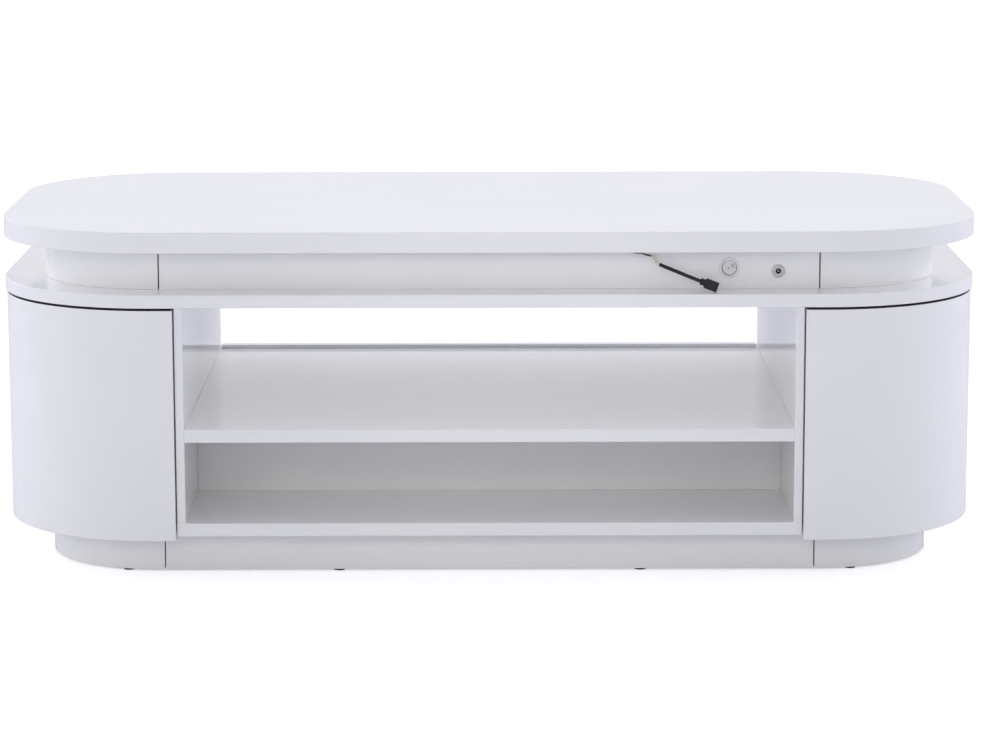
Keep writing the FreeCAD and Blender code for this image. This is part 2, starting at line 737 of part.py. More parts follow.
def make_lights():
    z1 = neck_top
    z0 = z1 - led_strip_width
    strip = rounded_wall(neck_end_inset - led_strip_thickness, neck_side_inset - led_strip_thickness,
                         neck_radius + led_strip_thickness, led_strip_thickness, z0, z1)
    strip = strip.cut(box(led_strip_gap[0], led_strip_gap[1], -half_width, 0, z0, z1))
    save("led_strip", strip)
    y0 = -neck_inner_y + controller_gap
    x0 = controller_from_centre - controller_length / 2
    case = box(x0, x0 + controller_length, y0, y0 + controller_width, deck_z, deck_z + controller_height)
    save("led_controller", case.makeFillet(controller_round, case.Edges))


# ---------------------------------------------------------------- loose lead of the light strip
def tube_along(points, radius):
    """Straight runs joined by tangent arcs, each as large as its two runs allow."""
    edges = []
    here = points[0]
    for before, corner, after in zip(points, points[1:], points[2:]):
        a = (before - corner).normalize()
        b = (after - corner).normalize()
        turn = math.pi - a.getAngle(b)
        run = min((before - corner).Length, (after - corner).Length)
        cut = bend_share * run
        radius_of_bend = cut / math.tan(turn / 2)
        first, last = corner + a * cut, corner + b * cut
        bisector = (a + b).normalize()
        middle = corner + bisector * (math.hypot(cut, radius_of_bend) - radius_of_bend)
        edges.append(Part.LineSegment(here, first).toShape())
        edges.append(Part.Arc(first, middle, last).toShape())
        here = last
    edges.append(Part.LineSegment(here, points[-1]).toShape())
    path = Part.Wire(edges)
    profile = Part.Wire(Part.makeCircle(radius, points[0], points[1] - points[0]))
    return path.makePipeShell([profile], True, False)


def make_lead():
    """Thin wires out of the strip's end, a shrunk sleeve, a round lead, and a connector on its edge."""
    def route(places):
        """Points given by x, distance in front of the wires' first point, and height."""
        return [V(x, -neck_face_y - wire_radius - wire_stand_off - out, z) for x, out, z in places]

    wires = route([(led_strip_gap[0], 0, 390.4), (171, 0.1, 389.6), (178, 0.6, 388.6), (185, 2, 387.4),
                   (191, 3.8, 386), (195.5, 5.1, 384.9)])
    lead = route([(203, 7.2, 375.8), (215.3, 12, 371.2), (227.6, 17, 366.9), (240.1, 21.6, 362.15),
                  (252.2, 24.9, 357.85)])
    sleeve = [wires[-1]] + route([(199.2, 6, 383.6), (200, 6.3, 376.9)]) + [lead[0]]
    save("led_wires", tube_along(wires, wire_radius))
    save("led_sleeve", tube_along(sleeve, sleeve_radius))
    save("led_lead", tube_along(lead, lead_radius))

    tail, nose = lead[-2], lead[-1]
    along = (nose - tail).normalize()
    through = along.cross(Z_AXIS).normalize()
    up = through.cross(along)

    def block(start, length, width, thickness):
        corner = nose + along * start - up * (width / 2) - through * (thickness / 2)
        wide, deep = up * width, through * thickness
        corners = [corner, corner + wide, corner + wide + deep, corner + deep]
        face = Part.Face(Part.makePolygon(corners + corners[:1]))
        return face.extrude(along * length)

    neck = block(0, connector_neck_length, connector_neck_width, connector_neck_thickness)
    head = block(connector_neck_length, connector_length, connector_width, connector_thickness)
    save("led_connector", neck.fuse(head).removeSplitter())


make_top()
make_deck()
make_neck()
make_plinth()
make_bottom_board()
make_dividers()
make_shelf()
make_cabinet_inside()
make_rear_panels()
make_doors()
make_latches()
make_drawer()
make_rails()
make_arms()
make_arm_pins()
make_springs()
make_switch()
make_jack()
make_lights()
make_lead()
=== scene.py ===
"""Lift top coffee table: rounded boards in white high-gloss lacquer, two curved doors, a rear drawer and a top that
lifts on arms. The looks are built round the CAD frame: +X along the length, -Y to the front, +Z up, in metres."""
import json
import math

import bmesh
import bpy
from mathutils import Matrix, Vector

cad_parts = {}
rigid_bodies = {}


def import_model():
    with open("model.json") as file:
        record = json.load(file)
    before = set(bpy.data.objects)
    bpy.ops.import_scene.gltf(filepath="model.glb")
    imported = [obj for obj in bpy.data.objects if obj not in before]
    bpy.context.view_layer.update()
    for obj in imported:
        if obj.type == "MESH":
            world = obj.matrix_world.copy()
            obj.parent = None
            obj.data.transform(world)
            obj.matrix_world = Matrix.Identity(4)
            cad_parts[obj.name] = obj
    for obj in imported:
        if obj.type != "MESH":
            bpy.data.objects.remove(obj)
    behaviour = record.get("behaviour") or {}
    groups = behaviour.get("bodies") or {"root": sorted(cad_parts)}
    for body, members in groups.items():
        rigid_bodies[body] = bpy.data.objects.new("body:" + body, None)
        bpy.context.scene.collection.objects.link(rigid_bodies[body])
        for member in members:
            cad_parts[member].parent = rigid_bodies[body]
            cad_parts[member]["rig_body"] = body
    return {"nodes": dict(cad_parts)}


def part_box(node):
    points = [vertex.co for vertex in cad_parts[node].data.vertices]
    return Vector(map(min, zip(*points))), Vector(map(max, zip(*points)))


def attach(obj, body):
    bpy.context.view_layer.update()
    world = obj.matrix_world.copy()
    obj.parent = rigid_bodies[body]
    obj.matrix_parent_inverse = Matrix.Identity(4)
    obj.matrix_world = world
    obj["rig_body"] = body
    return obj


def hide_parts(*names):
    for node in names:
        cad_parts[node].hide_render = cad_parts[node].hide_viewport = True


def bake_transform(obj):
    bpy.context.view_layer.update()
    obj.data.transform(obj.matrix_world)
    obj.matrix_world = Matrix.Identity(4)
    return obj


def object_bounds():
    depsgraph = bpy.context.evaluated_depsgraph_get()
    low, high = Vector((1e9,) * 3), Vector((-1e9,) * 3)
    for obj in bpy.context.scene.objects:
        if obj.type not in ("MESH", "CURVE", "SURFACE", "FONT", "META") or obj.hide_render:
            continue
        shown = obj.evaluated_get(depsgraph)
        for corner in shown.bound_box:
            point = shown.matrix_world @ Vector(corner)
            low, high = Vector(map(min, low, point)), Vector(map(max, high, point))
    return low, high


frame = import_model()
cad_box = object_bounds()
nodes = frame["nodes"]
mm = 0.001
table_low, table_high = cad_box


# ---------------------------------------------------------------- camera
# A long lens four metres in front of the table and half a metre over its top, tilted down by ten degrees.
def make_camera():
    lens, sensor = 125.06, 36.0
    pitch, yaw, roll = 0.17768, 0.0015, 0.00194
    place = Vector((-0.00286, -4.3119, 0.97527))
    data = bpy.data.cameras.new("studio_camera")
    data.lens = lens
    data.sensor_width = sensor
    camera = bpy.data.objects.new("studio_camera", data)
    turn = Matrix.Rotation(-yaw, 4, "Z") @ Matrix.Rotation(math.pi / 2 - pitch, 4, "X")
    camera.matrix_world = Matrix.Translation(place) @ turn @ Matrix.Rotation(-roll, 4, "Z")
    bpy.context.scene.collection.objects.link(camera)
    bpy.context.scene.camera = camera


make_camera()


# ---------------------------------------------------------------- loose lead of the light strip
# Four thin stranded wires soldered to the strip's end, a shrunk sleeve, a round PVC lead and a moulded connector.
# The lead hangs out of the gap under the top and its connector rests on the ledge.
wire_radius, sleeve_radius, lead_radius = 1.1 * mm, 1.7 * mm, 2.2 * mm
neck_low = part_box("neck_front_panel")[0]
wire_y = neck_low.y - wire_radius - 0.2 * mm


def lead_points(places):
    """Route points given in mm, with their distance in front of the wires' first point."""
    return [Vector((x * mm, wire_y - out * mm, z * mm)) for x, out, z in places]


wire_route = lead_points([(164, 0, 390.4), (171, 0.1, 389.6), (178, 0.6, 388.6), (185, 2, 387.4), (191, 3.8, 386),
                          (195.5, 5.1, 384.9)])
lead_route = lead_points([(203, 7.2, 375.8), (215.3, 12, 371.2), (227.6, 17, 366.9), (240.1, 21.6, 362.15),
                          (252.2, 24.9, 357.85)])
sleeve_route = [wire_route[-1]] + lead_points([(199.2, 6, 383.6), (200, 6.3, 376.9)]) + [lead_route[0]]


def linear(hex_colour):
    """An sRGB hex colour as linear RGBA."""
    shares = [int(hex_colour[i:i + 2], 16) / 255 for i in (1, 3, 5)]
    return [c / 12.92 if c <= 0.04045 else ((c + 0.055) / 1.055) ** 2.4 for c in shares] + [1.0]


def add(tree, kind, inputs=None, **settings):
    """A node with its settings; an input given as a socket is linked, and anything else is its value."""
    node = tree.nodes.new(kind)
    for name, value in settings.items():
        setattr(node, name, value)
    for name, value in (inputs or {}).items():
        if isinstance(value, bpy.types.NodeSocket):
            tree.links.new(value, node.inputs[name])
        else:
            node.inputs[name].default_value = value
    return node


def surface(name, tones, patch, roughness, relief, **uniform):
    """A material on Object coordinates. tones: two colours mixed in patches of that size; roughness: its range;
    relief: (grain size, depth) of the fine bump. Sizes are in metres. uniform: other inputs of the shader."""
    material = bpy.data.materials.new(name)
    material.use_nodes = True
    tree = material.node_tree
    tree.nodes.clear()
    place = add(tree, "ShaderNodeTexCoord").outputs["Object"]
    patches = add(tree, "ShaderNodeTexNoise", {"Vector": place, "Scale": 1 / patch, "Detail": 3.0})
    spread = add(tree, "ShaderNodeMapRange", {"Value": patches.outputs["Fac"], "From Min": 0.3, "From Max": 0.7})
    colour = add(tree, "ShaderNodeMix", {"Factor": spread.outputs["Result"]}, data_type="RGBA")
    colour.inputs[6].default_value, colour.inputs[7].default_value = linear(tones[0]), linear(tones[1])
    grain = add(tree, "ShaderNodeTexNoise", {"Vector": place, "Scale": 1 / relief[0], "Detail": 2.0})
    gloss = add(tree, "ShaderNodeMapRange", {"Value": grain.outputs["Fac"], "From Min": 0.3, "From Max": 0.7,
                                             "To Min": roughness[0], "To Max": roughness[1]})
    bump = add(tree, "ShaderNodeBump", {"Height": grain.outputs["Fac"], "Distance": relief[1], "Strength": 1.0})
    shader = add(tree, "ShaderNodeBsdfPrincipled",
                 {"Base Color": colour.outputs[2], "Roughness": gloss.outputs["Result"],
                  "Normal": bump.outputs["Normal"], **uniform})
    add(tree, "ShaderNodeOutputMaterial", {"Surface": shader.outputs["BSDF"]})
    return material


def piece_from(name, bm, *materials, sharp=35):
    """A finished mesh object from a bmesh, smooth but for its sharp edges."""
    bmesh.ops.recalc_face_normals(bm, faces=bm.faces)
    mesh = bpy.data.meshes.new(name)
    bm.to_mesh(mesh)
    bm.free()
    mesh.polygons.foreach_set("use_smooth", [True] * len(mesh.polygons))
    mesh.set_sharp_from_angle(angle=math.radians(sharp))
    for material in materials:
        mesh.materials.append(material)
    piece = bpy.data.objects.new(name, mesh)
    bpy.context.scene.collection.objects.link(piece)
    return piece


def stands_for(piece, node):
    """The piece rides where the CAD node rides and stands for it; the node is hidden."""
    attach(piece, nodes[node]["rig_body"])
    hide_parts(node)
    return piece


def route_curve(name, points, radius):
    """A round cord on one smooth curve with the route's points as its control points."""
    curve = bpy.data.curves.new(name, "CURVE")
    curve.dimensions = "3D"
    spline = curve.splines.new("NURBS")
    spline.points.add(len(points) - 1)
    for place, control in zip(points, spline.points):
        control.co = (*place, 1)
    spline.order_u = 3
    spline.use_endpoint_u = True
    spline.resolution_u = 16
    curve.bevel_depth = radius
    curve.bevel_resolution = 6
    curve.use_fill_caps = True
    cord = bpy.data.objects.new(name, curve)
    bpy.context.scene.collection.objects.link(cord)
    return cord


def line_of(points):
    """The points of the route's smooth curve."""
    cord = route_curve("route", points, 0)
    mesh = bpy.data.meshes.new_from_object(cord)
    line = [v.co.copy() for v in mesh.vertices]
    bpy.data.curves.remove(cord.data)
    bpy.data.meshes.remove(mesh)
    return line


def frames_along(line):
    """(place, side, up) at each point of a line, with no twist between neighbours."""
    side = (line[1] - line[0]).orthogonal().normalized()
    found = []
    for i, place in enumerate(line):
        along = (line[min(i + 1, len(line) - 1)] - line[max(i - 1, 0)]).normalized()
        side = (side - along * side.dot(along)).normalized()
        found.append((place, side, along.cross(side)))
    return found


def add_tube(bm, line, radii, sides=12, material=0):
    """A closed round tube along a line, with a radius for each point."""
    rings = []
    for (place, side, up), radius in zip(frames_along(line), radii):
        turns = [2 * math.pi * k / sides for k in range(sides)]
        rings.append([bm.verts.new(place + (side * math.cos(t) + up * math.sin(t)) * radius) for t in turns])
    faces = [bm.faces.new(rings[0]), bm.faces.new(rings[-1])]
    for low, high in zip(rings, rings[1:]):
        for k in range(sides):
            faces.append(bm.faces.new((low[k - 1], low[k], high[k], high[k - 1])))
    for face in faces:
        face.material_index = material


def make_wires():
    """Four insulated wires laid in a slow twist."""
    line = line_of(wire_route)
    strand_radius, lay_radius, twist = 0.48 * mm, 0.62 * mm, 1.3
    colours = {"red_brown_pvc": ("#5A2A22", "#4A211B"), "black_pvc_wire": ("#1E1B19", "#2A2523"),
               "olive_pvc_wire": ("#4A4738", "#3E3B2E"), "ivory_pvc_wire": ("#C9C3B2", "#B8B09E")}
    materials = [surface(name, tones, 4 * mm, (0.38, 0.5), (1.2 * mm, 0.01 * mm)) for name, tones in colours.items()]
    bm = bmesh.new()
    for strand in range(len(materials)):
        path = []
        for i, (place, side, up) in enumerate(frames_along(line)):
            turn = 2 * math.pi * (strand / len(materials) + twist * i / (len(line) - 1))
            path.append(place + (side * math.cos(turn) + up * math.sin(turn)) * lay_radius)
        add_tube(bm, path, [strand_radius] * len(path), sides=10, material=strand)
    return piece_from("strip_wires", bm, *materials), line


def make_sleeve():
    """Clear-white shrink tube, tighter where it ends over the wires and over the lead."""
    line = line_of(sleeve_route)
    overlap = 1.2 * mm
    line.insert(0, line[0] + (line[0] - line[1]).normalized() * overlap)
    line.append(line[-1] + (line[-1] - line[-2]).normalized() * overlap)
    stations = len(line) - 1
    radii = []
    for i in range(stations + 1):
        share = i / stations
        swell = sleeve_radius + (lead_radius - sleeve_radius) * max(0.0, (share - 0.55) / 0.45)
        radii.append(swell * (0.94 + 0.07 * math.sin(share * 9.0)) + 0.18 * mm)
    bm = bmesh.new()
    add_tube(bm, line, radii, sides=20)
    shrink = surface("polyolefin_shrink_sleeve", ("#E3DFD3", "#CFC9B8"), 3 * mm, (0.3, 0.45), (1.5 * mm, 0.03 * mm),
                     **{"Subsurface Weight": 0.15, "Subsurface Radius": (0.002, 0.0018, 0.0015)})
    return piece_from("wire_sleeve", bm, shrink)


def make_connector():
    """Moulded four-way socket housing on its edge: a ribbed neck and a wider head with four sockets in its nose."""
    neck_long, head_long = 6 * mm, 16 * mm
    neck_wide, head_wide, head_tall = 7.1 * mm, 11.5 * mm, 5 * mm
    tail, nose = lead_route[-2], lead_route[-1]
    along = (nose - tail).normalized()
    through = along.cross(Vector((0, 0, 1))).normalized()
    up = through.cross(along)
    place = Matrix.Translation(nose) @ Matrix((along, up, through)).transposed().to_4x4()
    bm = bmesh.new()

    def block(x0, x1, wide, tall):
        made = bmesh.ops.create_cube(bm, size=1.0)
        size = Matrix.Diagonal((x1 - x0, wide, tall, 1))
        bmesh.ops.transform(bm, matrix=Matrix.Translation(((x0 + x1) / 2, 0, 0)) @ size, verts=made["verts"])
        return made["verts"]

    head = block(neck_long, neck_long + head_long, head_wide, head_tall)
    pitch, socket, depth = 2.54 * mm, 1.1 * mm, 4 * mm
    middles = [(k - 1.5) * pitch for k in range(4)]
    cuts = [(y + way * socket / 2, Vector((0, 1, 0))) for y in middles for way in (-1, 1)]
    cuts += [(z, Vector((0, 0, 1))) for z in (-socket / 2, socket / 2)]
    for at, normal in cuts:
        geometry = list(bm.verts) + list(bm.edges) + list(bm.faces)
        bmesh.ops.bisect_plane(bm, geom=geometry, plane_co=normal * at, plane_no=normal)
    front = neck_long + head_long
    for y in middles:
        middle = Vector((front, y, 0))
        hole = min(bm.faces, key=lambda f: (f.calc_center_median() - middle).length)
        made = bmesh.ops.extrude_discrete_faces(bm, faces=[hole])
        bmesh.ops.translate(bm, vec=(-depth, 0, 0), verts=made["faces"][0].verts)
        made["faces"][0].material_index = 1
    block(0, neck_long + 0.5 * mm, neck_wide, head_tall * 0.8)
    ribs, rib = 3, 0.45 * mm
    for k in range(ribs):
        x = (0.8 + 1.8 * k) * mm
        block(x, x + 2 * rib, neck_wide + 2 * rib, head_tall * 0.8 + rib)
    for k in range(6):
        x = neck_long + (2.2 + 1.6 * k) * mm
        for way in (-1, 1):
            verts = block(x, x + 0.7 * mm, 0.5 * mm, head_tall * 0.7)
            bmesh.ops.translate(bm, vec=(0, way * head_wide / 2, 0), verts=verts)
    bmesh.ops.transform(bm, matrix=place, verts=bm.verts)
    nylon = surface("black_moulded_nylon", ("#0A0A0B", "#101012"), 5 * mm, (0.42, 0.55), (1.0 * mm, 0.02 * mm))
    contact = surface("tinned_brass_contact", ("#6E6250", "#57503F"), 2 * mm, (0.35, 0.5), (0.8 * mm, 0.01 * mm),
                      Metallic=1.0)
    piece = piece_from("lead_connector", bm, nylon, contact)
    soft = piece.modifiers.new("moulded_edges", "BEVEL")
    soft.width = 0.18 * mm
    soft.segments = 2
    soft.limit_method = "ANGLE"
    soft.angle_limit = math.radians(60)
    return piece


wires, wire_line = make_wires()
sleeve = make_sleeve()
lead = route_curve("black_lead", lead_route, lead_radius)
lead.data.materials.append(surface("black_pvc_jacket", ("#0B0B0C", "#121213"), 12 * mm, (0.4, 0.55),
                                   (1.6 * mm, 0.02 * mm)))
connector = make_connector()
stands_for(wires, "led_wires")
stands_for(sleeve, "led_sleeve")
stands_for(lead, "led_lead")
stands_for(connector, "led_connector")


# ---------------------------------------------------------------- lacquered boards
# Medium density fibreboard, sprayed with white polyurethane lacquer and polished to high gloss. It mirrors what stands
# near it, with a trace of orange peel. Visible edges are rounded by about a millimetre before they are sprayed.
white_lacquer = surface("white_gloss_lacquer", ("#F7F7F7", "#F4F4F5"), 180 * mm, (0.05, 0.09),
                        (7 * mm, 0.004 * mm), IOR=1.5)


def softened(node, edge, material):
    """A welded copy of a CAD board with its sharp edges rounded, which stands for the node."""
    bm = bmesh.new()
    bm.from_mesh(nodes[node].data)
    bmesh.ops.remove_doubles(bm, verts=bm.verts, dist=0.001 * mm)
    bmesh.ops.dissolve_limit(bm, angle_limit=math.radians(0.5), verts=bm.verts, edges=bm.edges)
    piece = piece_from(node + "_finished", bm, material, sharp=180)
    rounding = piece.modifiers.new("rounded_edges", "BEVEL")
    rounding.width = edge
    rounding.segments = 3
    rounding.limit_method = "ANGLE"
    rounding.angle_limit = math.radians(40)
    flats = piece.modifiers.new("flat_faces", "WEIGHTED_NORMAL")
    flats.weight = 100
    return stands_for(piece, node)


def recoat(material, *names):
    """The CAD nodes keep their shape and get this material."""
    for name in names:
        mesh = nodes[name].data
        mesh.materials.clear()
        mesh.materials.append(material)


recoat(white_lacquer, "table_top", "deck_plate", "left_door", "right_door", "left_rear_panel", "right_rear_panel",
       "drawer_front")
for name in ("neck_front_panel", "neck_rear_panel", "neck_left_end", "neck_right_end", "plinth_front", "plinth_rear",
             "plinth_left_end", "plinth_right_end", "bottom_board", "left_divider", "right_divider", "shelf",
             "niche_back_panel"):
    softened(name, 0.5 * mm, white_lacquer)


# ---------------------------------------------------------------- painted shade over the doors
# A black strip along each door's top edge, in the gap under the deck: painted shade of the gap, a dark piece put
# where there is deep shadow, which reads from outside as the black line over the door.
def make_door_gap_shade_strips():
    corner_radius, shade_strip_height = 195 * mm, 2.6 * mm
    outer_inset, inner_inset, end_gap = 2.4 * mm, 14 * mm, 12 * mm
    door_low, door_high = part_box("right_door")
    pivot_y = door_high.y - 8 * mm
    # Black for the shadow in the gap over the door: painted shade, not a real seal.
    gap_shade_black = surface("painted_gap_shade_black", ("#0B0B0C", "#121213"), 6 * mm, (0.8, 0.95), (1.1 * mm, 0.05 * mm))
    for side, way in (("right", 1), ("left", -1)):
        rows = []
        for inset in (outer_inset, inner_inset):
            radius = corner_radius - inset
            centre = Vector((table_high.x - corner_radius, table_low.y + corner_radius))
            row = [Vector((door_low.x + 1.5 * mm, table_low.y + inset))]
            for k in range(41):
                turn = math.radians(-90 + 90 * k / 40)
                row.append(centre + Vector((math.cos(turn), math.sin(turn))) * radius)
            row.append(Vector((table_high.x - inset, pivot_y - end_gap)))
            rows.append([Vector((p.x * way, p.y)) for p in row])
        bm = bmesh.new()
        corners = [[bm.verts.new((*p, z)) for p in row] for row in rows
                   for z in (door_high.z - 0.2 * mm, door_high.z + shade_strip_height)]
        outer_low, outer_high, inner_low, inner_high = corners
        for a, b in ((outer_low, outer_high), (outer_high, inner_high), (inner_high, inner_low),
                     (inner_low, outer_low)):
            for k in range(len(a) - 1):
                bm.faces.new((a[k], a[k + 1], b[k + 1], b[k]))
        for end in (0, -1):
            bm.faces.new((outer_low[end], outer_high[end], inner_high[end], inner_low[end]))
        # The strip rides on the door leaf and paints the gap's shade.
        shade_strip = piece_from(side + "_door_seal", bm, gap_shade_black)
        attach(shade_strip, side + "_door_leaf")


make_door_gap_shade_strips()


# ---------------------------------------------------------------- cabinet and drawer boards
# Particle board with white melamine paper: satin, with the faint pearl texture of the press plate.
white_melamine = surface("white_satin_melamine", ("#E9E8E4", "#E4E3DF"), 90 * mm, (0.36, 0.46),
                         (1.4 * mm, 0.012 * mm))
for name in ("left_cabinet_back", "right_cabinet_back", "left_cabinet_shelf", "right_cabinet_shelf", "drawer_sides",
             "drawer_back", "drawer_bottom"):
    softened(name, 0.4 * mm, white_melamine)


# ---------------------------------------------------------------- steel of the lift mechanism, runners and pivots
# Arms, angle rails and cross tube: mild steel with a black powder coat, which is finely wrinkled. Pins, pivots, screws
# and drawer runners: zinc plated, bright with cloudy patches.
black_powder_coat = surface("black_powder_coat", ("#18181A", "#202023"), 25 * mm, (0.42, 0.58),
                            (1.0 * mm, 0.03 * mm))
zinc_plate = surface("zinc_plated_steel", ("#C4C8CC", "#B6BABF"), 9 * mm, (0.26, 0.34), (1.2 * mm, 0.002 * mm),
                     Metallic=1.0)
for name in ("base_rails", "top_rails", "rear_arms", "front_arms"):
    softened(name, 0.5 * mm, black_powder_coat)
recoat(black_powder_coat, "cross_tube")
for name in ("drawer_rails", "drawer_runners"):
    softened(name, 0.25 * mm, zinc_plate)
recoat(zinc_plate, "base_pivot_pins", "top_pivot_pins", "bottom_pivots", "top_pivots", "shelf_pins")


# ---------------------------------------------------------------- lift springs
# A left and a right torsion spring of 3 mm spring steel on the rear base pins. The inner leg presses on the deck, and
# the outer leg hooks under the arm, so the coil unwinds as the top rises.
def make_springs():
    wire, coil, pitch, turns, leg, hook = 1.5 * mm, 9 * mm, 3.6 * mm, 6, 34 * mm, 5 * mm
    deck_drop = 12.4 * mm
    pin_low, pin_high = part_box("base_pivot_pins")
    axis_y, axis_z = pin_high.y - 7 * mm, (pin_low.z + pin_high.z) / 2
    inner_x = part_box("right_lift_spring")[0].x + wire
    first = math.atan2(leg, coil) + math.acos(deck_drop / math.hypot(leg, coil))
    last = 2 * math.pi * turns
    steps = 40 * turns
    line = []
    for k in range(steps + 1):
        turn = first + (last - first) * k / steps
        line.append(Vector((inner_x + pitch * (turn - first) / (2 * math.pi), axis_y + coil * math.sin(turn),
                            axis_z - coil * math.cos(turn))))
    back = Vector((0, -math.cos(first), -math.sin(first)))
    line = [line[0] + back * leg * (1 - k / 8) for k in range(8)] + line
    end = line[-1]
    line += [end + Vector((0, leg * k / 8, 0)) for k in range(1, 8)]
    bend = 2.5 * wire
    for k in range(7):
        turn = math.pi / 2 * k / 6
        line.append(end + Vector((bend * (1 - math.cos(turn)), leg - bend + bend * math.sin(turn), 0)))
    line.append(end + Vector((hook, leg, 0)))
    steel = surface("oil_tempered_spring_steel", ("#4A4B4E", "#37383B"), 5 * mm, (0.3, 0.45), (0.9 * mm, 0.01 * mm),
                    Metallic=1.0)
    for side, way in (("right", 1), ("left", -1)):
        bm = bmesh.new()
        add_tube(bm, [Vector((p.x * way, p.y, p.z)) for p in line], [wire] * len(line), sides=14)
        spring = piece_from(side + "_torsion_spring", bm, steel, sharp=60)
        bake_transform(spring)
        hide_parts(side + "_lift_spring")


make_springs()


# ---------------------------------------------------------------- screws
# Zinc plated pan head screws with a cross recess, each stopped at its own angle. They hold the angle rails to the
# boards, the drawer runners to their sides and the pivot plates under the bottom board.
def fixings_tree():
    """Geometry Nodes: a part on each point, its +Z along the point's facing, turned at random about it."""
    tree = bpy.data.node_groups.new("fixings_on_points", "GeometryNodeTree")
    for name, kind in (("Points", "Geometry"), ("Part", "Object"), ("Size", "Float"), ("Seed", "Int"),
                       ("Finish", "Material")):
        tree.interface.new_socket(name, in_out="INPUT", socket_type="NodeSocket" + kind)
    tree.interface.new_socket("Fixings", in_out="OUTPUT", socket_type="NodeSocketGeometry")
    given = add(tree, "NodeGroupInput").outputs
    facing = add(tree, "GeometryNodeInputNamedAttribute", {"Name": "facing"}, data_type="FLOAT_VECTOR")
    upright = add(tree, "FunctionNodeAlignRotationToVector", {"Vector": facing.outputs["Attribute"]}, axis="Z")
    angle = add(tree, "FunctionNodeRandomValue", {2: 0.0, 3: 2 * math.pi, "Seed": given["Seed"]}, data_type="FLOAT")
    euler = add(tree, "ShaderNodeCombineXYZ", {"Z": angle.outputs[1]})
    spin = add(tree, "FunctionNodeEulerToRotation", {"Euler": euler.outputs["Vector"]})
    turned = add(tree, "FunctionNodeRotateRotation",
                 {"Rotation": upright.outputs["Rotation"], "Rotate By": spin.outputs["Rotation"]},
                 rotation_space="LOCAL")
    part = add(tree, "GeometryNodeObjectInfo", {"Object": given["Part"]})
    placed = add(tree, "GeometryNodeInstanceOnPoints",
                 {"Points": given["Points"], "Instance": part.outputs["Geometry"],
                  "Rotation": turned.outputs["Rotation"], "Scale": given["Size"]})
    real = add(tree, "GeometryNodeRealizeInstances", {"Geometry": placed.outputs["Instances"]})
    coated = add(tree, "GeometryNodeSetMaterial", {"Geometry": real.outputs["Geometry"], "Material": given["Finish"]})
    add(tree, "NodeGroupOutput", {"Fixings": coated.outputs["Geometry"]})
    return tree


def grown(name, source, tree, inputs):
    """What the tree makes of a source object, as a plain mesh piece. The source is used up."""
    modifier = source.modifiers.new("grow", "NODES")
    modifier.node_group = tree
    for socket in tree.interface.items_tree:
        if socket.in_out == "INPUT" and socket.name in inputs:
            modifier[socket.identifier] = inputs[socket.name]
    bpy.context.view_layer.update()
    graph = bpy.context.evaluated_depsgraph_get()
    mesh = bpy.data.meshes.new_from_object(source.evaluated_get(graph))
    mesh.name = name
    bpy.data.objects.remove(source)
    piece = bpy.data.objects.new(name, mesh)
    bpy.context.scene.collection.objects.link(piece)
    return piece


def points_object(places, facings):
    """Bare points with the direction that each one faces."""
    mesh = bpy.data.meshes.new("points")
    mesh.from_pydata(places, [], [])
    facing = mesh.attributes.new("facing", "FLOAT_VECTOR", "POINT")
    facing.data.foreach_set("vector", [c for f in facings for c in f])
    points = bpy.data.objects.new("points", mesh)
    bpy.context.scene.collection.objects.link(points)
    return points


def add_lathe(bm, profile, sides=32, material=0):
    """A closed solid of revolution about Z from (radius, height) pairs, first and last on the axis."""
    rings = []
    for radius, height in profile[1:-1]:
        turns = [2 * math.pi * k / sides for k in range(sides)]
        rings.append([bm.verts.new((radius * math.cos(t), radius * math.sin(t), height)) for t in turns])
    low = bm.verts.new((0, 0, profile[0][1]))
    high = bm.verts.new((0, 0, profile[-1][1]))
    faces = []
    for k in range(sides):
        faces.append(bm.faces.new((low, rings[0][k], rings[0][k - 1])))
        faces.append(bm.faces.new((high, rings[-1][k - 1], rings[-1][k])))
        for a, b in zip(rings, rings[1:]):
            faces.append(bm.faces.new((a[k - 1], a[k], b[k], b[k - 1])))
    for face in faces:
        face.material_index = material


def screw_part():
    """A pan head of unit radius with a tapered cross recess, and the start of its shank."""
    head_height, recess_width, recess_length, recess_depth = 0.55, 0.24, 1.15, 0.38
    bm = bmesh.new()
    dome = [(0.95 * math.cos(t), head_height * (0.35 + 0.65 * math.sin(t)))
            for t in [math.radians(15 * k) for k in range(6)]]
    shank = [(0, -1.2), (0.48, -1.2), (0.48, 0), (1.0, 0), (1.0, 0.18 * head_height)]
    add_lathe(bm, shank + dome + [(0, head_height)])
    head = piece_from("screw_head", bm)
    bm = bmesh.new()
    for wide, long in ((recess_width, recess_length), (recess_length, recess_width)):
        made = bmesh.ops.create_cube(bm, size=1.0)
        bmesh.ops.transform(bm, matrix=Matrix.Translation((0, 0, head_height)) @
                            Matrix.Diagonal((wide, long, 2 * recess_depth, 1)), verts=made["verts"])
        for vert in made["verts"]:
            if vert.co.z < head_height:
                vert.co.x *= 0.5
                vert.co.y *= 0.5
    cutter = piece_from("screw_recess", bm)
    cut = head.modifiers.new("recess", "BOOLEAN")
    cut.operation = "DIFFERENCE"
    cut.object = cutter
    cut.solver = "EXACT"
    cut.use_self = True
    bpy.context.view_layer.update()
    mesh = bpy.data.meshes.new_from_object(head.evaluated_get(bpy.context.evaluated_depsgraph_get()))
    mesh.set_sharp_from_angle(angle=math.radians(30))
    bpy.data.objects.remove(cutter)
    head.modifiers.clear()
    head.data = mesh
    return head


def set_screws(name, body, places, facings, radius, seed, *replaced):
    """One group of screws on a body."""
    piece = grown(name, points_object(places, facings), screw_tree,
                  {"Part": screw, "Size": radius, "Seed": seed, "Finish": zinc_plate})
    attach(piece, body)
    if replaced:
        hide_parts(*replaced)


